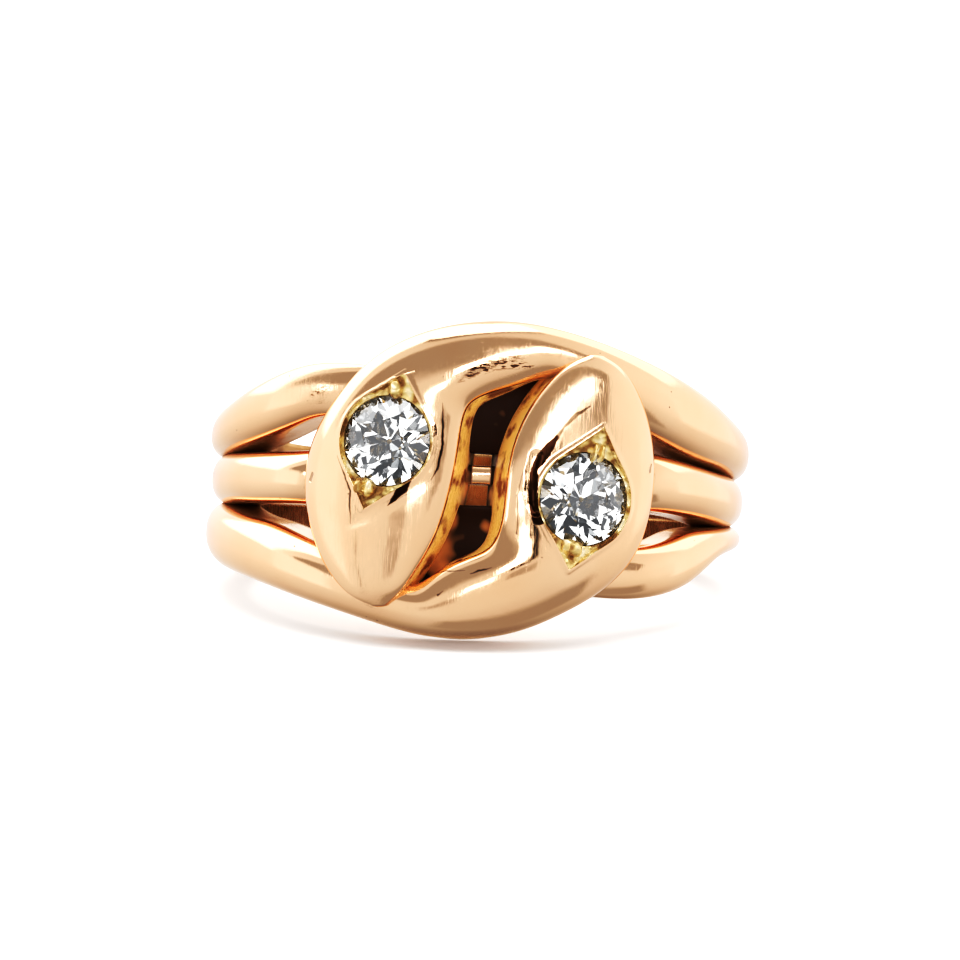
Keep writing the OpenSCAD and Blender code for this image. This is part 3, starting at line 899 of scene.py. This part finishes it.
# the rest end with their own metal: at the outer edge, the inner edge and the crest. The short rows run
# straight along the finger: angle, outer height, inner height, metal at both edges, metal at the crest.
leftSnakeRest = [
    (34.7, 4.97, 33.4, 2.42, 1.68, 1.66, 2.36), (46.4, 4.36, 43, 1.79, 1.58, 1.56, 2.32),
    (58.4, 3.75, 54.5, 1.31, 1.44, 1.42, 2.22), (72.2, 3.1, 68.5, 1.08, 1.28, 1.28, 2.14),
    (87, 2.72, 84, 0.8, 1.14, 1.14, 2.08), (104.2, 2.39, 0.66, 1, 1.96), (129.1, 2.08, 0.58, 0.86, 1.8),
    (154.3, 1.94, 0.54, 0.78, 1.68), (179.2, 1.88, 0.52, 0.76, 1.64), (203.3, 1.8, 0.54, 0.78, 1.68),
    (229.2, 1.72, 0.58, 0.84, 1.76), (246, 1.8, 0.64, 0.94, 1.86), (260, 2.08, 261, 0.72, 1.02, 1.02, 1.96),
    (273, 2.52, 278, 0.82, 1.12, 1.12, 2.06), (289.2, 2.98, 294.5, 1.12, 1.24, 1.24, 2.1),
    (303.7, 3.63, 305.5, 1.44, 1.34, 1.34, 2.08), (313.6, 4.09, 314.4, 1.84, 1.36, 1.36, 1.98),
    (321.5, 4.32, 322.2, 2.26, 1.28, 1.28, 1.78), (331, 4.28, 2.2, 1.1, 1.4), (342, 4.1, 1.55, 0.94, 1.18),
    (355, 3.9, 1.05, 0.8, 1.06), (367.3, 4.05, 1, 0.74, 1), (381, 3.95, 1.05, 0.7, 0.9),
]

rightSnakeHead = [
    (24, 4.82, 20.8, 4.84), (27.2, 4.58, 17.4, 4.62), (29.6, 4.19, 15.1, 4.2), (32.1, 3.69, 12.5, 3.64),
    (34.6, 2.96, 10, 2.93), (36.6, 2.14, 8, 2.16), (37.8, 1.16, 6.5, 1.27), (38.1, 0.13, 5.7, 0.35),
    (37.4, -1.03, 5.4, -0.6), (35.6, -2.08, 5.1, -1.47), (32.7, -3, 4.3, -2.16), (28.8, -3.72, 3, -2.6),
    (24.2, -4.37, 0.9, -2.86), (18.4, -4.99, -1.8, -3.06), (11.4, -5.62, -4.9, -3.32), (4.1, -6, -8.3, -3.7),
    (-3.4, -6.12, -12, -4.16), (-11.3, -6.02, -16.4, -3.97), (-19.6, -5.68, -21.6, -3.59),
]
rightSnakeRest = [
    (-28.9, -5.24, -29.4, -3.02, 1.7, 1.66, 2.38), (-39.2, -4.78, -38.8, -2.42, 1.6, 1.58, 2.36),
    (-50.5, -4.31, -50.1, -1.86, 1.46, 1.46, 2.28), (-62.1, -3.93, -61.8, -1.56, 1.32, 1.32, 2.2),
    (-77.5, -3.5, -75, -1.18, 1.2, 1.2, 2.16), (-92, -3.05, -90, -0.86, 1.08, 1.08, 2.06),
    (-110.7, -2.6, -0.72, 0.96, 1.94), (-132.6, -2.22, -0.58, 0.86, 1.8), (-157.3, -2, -0.54, 0.78, 1.68),
    (-181.9, -1.92, -0.52, 0.76, 1.64), (-206.3, -1.9, -0.54, 0.78, 1.68), (-231.9, -1.92, -0.6, 0.84, 1.76),
    (-256.4, -1.98, -0.78, 0.92, 1.82), (-277, -2.12, -1.04, 1, 1.84),
    (-291.5, -2.45, -292.2, -1.24, 1.1, 1.1, 1.88), (-299.2, -3.02, -299.8, -1.36, 1.2, 1.2, 1.92),
    (-305.9, -3.61, -306.4, -1.54, 1.28, 1.28, 1.94), (-312.8, -3.98, -313.3, -1.94, 1.32, 1.32, 1.92),
    (-319.9, -4.23, -320.4, -2.24, 1.28, 1.28, 1.8), (-328, -4.3, -2.34, 1.14, 1.5),
    (-338, -4.2, -1.8, 0.98, 1.26), (-350, -4, -1.05, 0.84, 1.1), (-363, -4.1, -1, 0.76, 1.02),
    (-378, -3.95, -1.05, 0.7, 0.9),
]

middleBandRows = [
    # angle, top, bottom, metal at the edges and at the crest
    (-27, 1.2, -1.2, 0.6, 0.9), (-13, 0.75, -0.45, 0.6, 0.8), (-4, 0.56, -0.2, 0.6, 0.76),
    (5, 0.56, -0.2, 0.6, 0.76), (14, 0.75, -0.45, 0.6, 0.8), (27, 1.2, -1.2, 0.6, 0.9),
    (34, 1.45, -1, 0.92, 1.5), (41, 1.4, -0.86, 1.26, 1.96), (56, 1.11, -0.95, 1.22, 2),
    (68, 0.96, -1.1, 1.14, 1.96), (80, 0.94, -1.18, 1.06, 1.92), (100, 0.85, -1, 0.98, 1.84),
    (130, 0.72, -0.72, 0.86, 1.74), (156, 0.68, -0.68, 0.78, 1.62), (180, 0.66, -0.66, 0.76, 1.58),
    (204, 0.68, -0.68, 0.78, 1.62), (230, 0.74, -0.74, 0.86, 1.74), (256, 0.88, -0.94, 1, 1.88),
    (278, 0.98, -1.08, 1.1, 1.96), (290, 0.92, -1.04, 1.18, 2), (304, 0.9, -1.12, 1.24, 2),
    (318.6, 0.92, -1.16, 1.26, 1.94), (326, 1.05, -1.2, 0.92, 1.5),
]
leftSnake = {
    "head": leftSnakeHead,
    "rest": leftSnakeRest,
    "seed": 3,
    "gold": leftGold,
    "grains": (
        (1, {
            "width": 0.57, "length": 0.75, "rise": 0.36, "out": 0.28, "aside": -0.2, "square": 0.15, "seed": 1,
        }),
        (-1, {
            "width": 0.95, "length": 0.8, "rise": 0.4, "out": 0.26, "aside": -0.3, "square": 0.2, "split": 0.25,
            "seed": 2,
        }),
    ),
    "marks": ({
        "line": ((-9.0, -0.2), (-12.3, -0.6), (-15.0, -0.95), (-17.4, -1.3), (-20.2, -1.65), (-24.2, -1.9)),
        "width": 0.25,
        "depth": 0.005,
    },),
}
rightSnake = {
    "head": rightSnakeHead,
    "rest": rightSnakeRest,
    "seed": 8,
    "gold": rightGold,
    "grains": (
        (1, {"width": 0.18, "length": 0.8, "rise": 0.42, "out": 0.04, "aside": -0.1, "square": 0.3, "seed": 3}),
        (1, {"width": 0.2, "length": 0.75, "rise": 0.4, "out": 0.08, "aside": 0.2, "square": 0.3, "seed": 6}),
        (-1, {
            "width": 0.83, "length": 0.62, "rise": 0.36, "out": 0.17, "aside": -0.04, "square": 0.5, "seed": 4,
        }),
    ),
    "marks": ({
        "line": ((10.6, 0.9), (9.9, 0.3), (9.9, -0.4), (10.4, -0.9), (11.2, -1.15)),
        "width": 0.25,
        "depth": 0.025,
    },),
}
middleBand = {
    "rows": [fullRow(row) for row in middleBandRows],
    "step": 0.16,
    "even": 3,
    "seed": 5,
    "marks": (),
}

leftPiece = snake("left_snake", leftSnake, leftSetting)
settled(leftPiece, "gold", "gold_ring")
rightPiece = snake("right_snake", rightSnake, rightSetting)
settled(rightPiece, "gold", "gold_ring")
middleRows = evened(fineRows(middleBand["rows"], middleBand["step"], True), middleBand["even"], True)
middlePiece = band("middle_band", middleRows, True, [plainGold], middleBand, faceSteps["middle"])
shaded(middlePiece, sharpFrom["middle"])
settled(middlePiece, "gold", "gold_ring")
print("bands made")

# an old-cut round stone, ground facet by facet out of a drum
oldCut = {
    "table": 0.47,  # share of the width
    "crown": 0.155,
    "pavilion": 0.42,
    "culet": 0.055,
    "girdle": 0.05,  # millimetres
    "starSlope": 21,
    "upperSlope": 36.5,
    "lowerSlope": 43.5,
    "drumSides": 128,
}


def grind(work, point, normal):
    geometry = work.verts[:] + work.edges[:] + work.faces[:]
    cut = bmesh.ops.bisect_plane(
        work, geom=geometry, dist=1e-6, plane_co=point, plane_no=normal, clear_outer=True)
    rim = [e for e in cut["geom_cut"] if isinstance(e, bmesh.types.BMEdge)]
    if rim:
        bmesh.ops.contextual_create(work, geom=rim)


def facet(work, turn, slope, reach, height):  # a plane that leans out and up, through one point
    a, s = math.radians(turn), math.radians(slope)
    outwards = Vector((math.cos(a), math.sin(a), 0))
    normal = outwards * math.sin(abs(s)) + Vector((0, 0, math.copysign(math.cos(s), slope)))
    grind(work, outwards * reach + Vector((0, 0, height)), normal)


def roundStone(name, setting, look):
    width = setting["stone"]
    radius = width / 2
    crown, pavilion = width * look["crown"], width * look["pavilion"]
    girdle = look["girdle"]
    tableReach = radius * look["table"]
    culetReach = radius * look["culet"]
    work = bmesh.new()
    bmesh.ops.create_cone(
        work, cap_ends=True, segments=look["drumSides"], radius1=radius, radius2=radius,
        depth=crown + girdle + pavilion)
    bmesh.ops.translate(work, verts=work.verts, vec=(0, 0, (crown + girdle - pavilion) / 2))
    mainSlope = math.degrees(math.atan2(crown, radius - tableReach))
    underSlope = math.degrees(math.atan2(pavilion, radius - culetReach))
    eighth = 45
    starReach = tableReach * math.cos(math.radians(eighth / 2))
    near = radius * math.cos(math.radians(eighth / 4))
    for i in range(8):
        at = setting["stoneTurn"] + i * eighth
        facet(work, at, mainSlope, radius, girdle)
        facet(work, at + eighth / 2, look["starSlope"], starReach, girdle + crown)
        facet(work, at, -underSlope, radius, 0)
        for half in (eighth / 4, -eighth / 4):
            facet(work, at + half, look["upperSlope"], near, girdle)
            facet(work, at + half, -look["lowerSlope"], near, 0)
    bmesh.ops.transform(work, matrix=atSetting(setting), verts=work.verts)
    bmesh.ops.recalc_face_normals(work, faces=work.faces)
    return finished(name, work, [diamondClear])


leftStone = roundStone("left_old_cut_diamond", leftSetting, oldCut)
settled(leftStone, "diamond", "left_diamond")
rightStone = roundStone("right_old_cut_diamond", rightSetting, oldCut)
settled(rightStone, "diamond", "right_diamond")
print("stones made")

# a pale floor, and a bright tent all round, dimmer in front and below, with the few things the gold mirrors
floorLook = {
    "reach": 3.0,
    "tone": (0.93, 0.93, 0.925),
    "fleck": (0.9, 0.9, 0.9),
    "fleckShare": 0.5,
    "fleckScale": 900.0,
    "roughness": 0.9,
    "lift": 0.2,  # its own light
}
tent = {
    "gain": 1.3,  # the ramps below are shares of it
    # brightness, from behind the ring, 0, to the camera's side, 1
    "front": ((0.0, 0.92), (0.33, 0.9), (0.5, 0.88), (0.67, 0.8), (0.82, 0.72), (0.935, 0.66), (1.0, 0.66)),
    # brightness, from straight below, 0, to straight above, 1
    "rise": (
        (0.0, 0.15), (0.065, 0.21), (0.25, 0.42), (0.415, 0.54), (0.5, 0.62), (0.585, 0.66),
        (0.67, 0.64), (0.75, 0.6), (0.885, 0.54), (0.92, 0.5), (0.932, 0.2), (0.945, 0.2), (0.952, 1.9),
        (1.0, 2.4),
    ),
    "riseGain": 1.6,
    # the light and dark patches that sparkle in the stones
    "patches": (2.4, 1.0, 0.59357, 7),
    "patchDark": (0.055, 0.06, 0.068),
    "patchBright": (1.0, 1.04, 1.06),
    "mapSize": 1024,
    "cardHorizon": 50,  # how quickly a card ends sideways of where it faces
    "cardNear": 0.001,
    # azimuth, elevation, width, height, soft edge, glow
    "cards": (
        (-12, 36, 130, 28, 5, 0.42),  # a dimmer ceiling
        (22, 20.2, 46, 4.6, 0.4, 6.0),  # lamps
        (-9, 14, 14, 3.4, 0.5, 4.0),
        (-51, 15.5, 12, 4.5, 0.6, 4.0),
        (16, 16.2, 22, 1.8, 0.4, 0.03),  # dark rails
        (-23, 9.5, 12, 4, 2.5, 0.5),
        (12, 11.5, 14, 4, 1.2, 0.5),
        (-50, -2, 1.5, 26, 0.5, 0.3),
        (-80, 6, 32, 22, 5, 1.3),  # pale sides
        (116, -2, 50, 18, 5, 1.25),
        (-122, 42, 54, 58, 5, 2.6),  # windows behind
        (128, 45, 50, 50, 5, 1.8),
        (20, -34, 80, 34, 10, 0.4),  # a dimmer table edge
    ),
}


def onDome(azimuth, elevation):
    a, e = math.radians(azimuth), math.radians(elevation)
    return Vector((math.sin(a) * math.cos(e), -math.cos(a) * math.cos(e), math.sin(e)))


def cardMask(board, ray, azimuth, elevation, width, height, soft):
    middle = onDome(azimuth, elevation)
    right = Vector((0, 0, 1)).cross(middle).normalized()
    up = middle.cross(right)
    ahead = board.vector("DOT_PRODUCT", ray, middle, output=1)
    mask = (ahead * tent["cardHorizon"]).clamped()
    ahead = ahead.maths("MAXIMUM", ahead, tent["cardNear"])
    for axis, size in ((right, width), (up, height)):
        half = math.tan(math.radians(size / 2))
        aside = (board.vector("DOT_PRODUCT", ray, axis, output=1) / ahead).size()
        mask = mask * ((half - aside) / math.radians(soft) + 0.5).clamped()
    return mask


def makeTent():
    world = bpy.data.worlds.new("tent")
    bpy.context.scene.world = world
    world.use_nodes = True
    board = Board(world.node_tree)
    ray = board.node("ShaderNodeTexCoord", output=0)

    def ramped(axis, stops):
        place = board.vector("DOT_PRODUCT", ray, axis, output=1) * 0.5 + 0.5
        shades = [(at, (share, share, share)) for at, share in stops]
        return board.node("ShaderNodeValToRGB", {"stops": shades}, {0: place})

    glow = ramped((0, -1, 0), tent["front"]) * ramped((0, 0, 1), tent["rise"])
    glow = glow * (tent["gain"] * tent["riseGain"])
    for *card, shine in tent["cards"]:
        mask = cardMask(board, ray, *card)
        glow = glow * (1 - mask) + mask * shine
    seen = board.node("ShaderNodeLightPath", output=0)
    glow = glow * (1 - seen) + seen
    patch = patches(board, ray, *tent["patches"])
    sparkle = board.mixed(patch, colour(tent["patchDark"]), colour(tent["patchBright"]))
    through = board.node("ShaderNodeLightPath", output=6)  # rays that have been through a stone
    tint = board.mixed(through, (1, 1, 1, 1), sparkle)
    glow = glow * (1 - through) + through
    light = board.node("ShaderNodeBackground", None, {"Color": tint, "Strength": glow})
    board.node("ShaderNodeOutputWorld", None, {"Surface": light})
    world.cycles.sampling_method = "MANUAL"
    world.cycles.sample_map_resolution = tent["mapSize"]


def makeFloor():
    reach = floorLook["reach"]
    mesh = bpy.data.meshes.new("floor")
    corners = [(-reach, -reach, 0), (reach, -reach, 0), (reach, reach, 0), (-reach, reach, 0)]
    mesh.from_pydata(corners, [], [(0, 1, 2, 3)])
    paper, board = freshMaterial("paleFloor")
    flecks = clouds(board, board.node("ShaderNodeTexCoord", output=3), floorLook["fleckScale"], 4.0)
    share = flecks * floorLook["fleckShare"]
    surface(board, {
        "Base Color": board.mixed(share, colour(floorLook["tone"]), colour(floorLook["fleck"])),
        "Roughness": floorLook["roughness"],
        "Emission Color": (1.0, 1.0, 1.0, 1.0),
        "Emission Strength": floorLook["lift"],
    })
    mesh.materials.append(paper)
    floor = placed("floor", mesh)
    floor.visible_glossy = False  # the polished gold mirrors the tent's lower half instead


makeTent()
makeFloor()
print("studio made")

# the photograph's view: a long lens in front of the ring, a little below the level of its hole, rolled a little
view = {
    "distance": 200.0,
    "elevation": -2.4,
    "roll": 2.5,
    "lens": 187.5,
    "sensor": 36.0,
    "middle": (478, 490),  # pixels
    "frame": 960,
    "clip": (0.005, 20),  # metres
}


def makeCamera():
    e, roll = math.radians(view["elevation"]), math.radians(view["roll"])
    spot = Vector((0, -math.cos(e), math.sin(e))) * view["distance"]
    ahead = -spot.normalized()
    flat = Vector((1, 0, 0))
    rise = flat.cross(ahead)
    right = flat * math.cos(roll) + rise * math.sin(roll)
    up = -flat * math.sin(roll) + rise * math.cos(roll)
    turn = (toRest.to_3x3() @ Matrix((right, up, -ahead)).transposed()).normalized()
    camera = bpy.data.cameras.new("camera")
    camera.lens, camera.sensor_width = view["lens"], view["sensor"]
    half = view["frame"] / 2
    camera.shift_x = (half - view["middle"][0]) / view["frame"]
    camera.shift_y = (view["middle"][1] - half) / view["frame"]
    camera.clip_start, camera.clip_end = view["clip"]
    made = placed("camera", camera)
    made.matrix_world = Matrix.LocRotScale(toRest @ spot, turn.to_quaternion(), None)
    bpy.context.scene.camera = made


# the photograph's own contrast, from scene brightness to picture brightness
toneCurve = ((0.1, 0.035), (0.18, 0.098), (0.275, 0.222), (0.42, 0.423), (0.65, 0.705), (0.85, 0.88))

makeCamera()
scene = bpy.context.scene
scene.view_settings.view_transform = "Standard"
scene.view_settings.use_curve_mapping = True
contrast = scene.view_settings.curve_mapping
for place, shade in toneCurve:
    contrast.curves[3].points.new(place, shade)  # all colours together
contrast.update()
scene.cycles.max_bounces = 16
scene.cycles.glossy_bounces = 6
scene.cycles.transmission_bounces = 14
print("camera set")
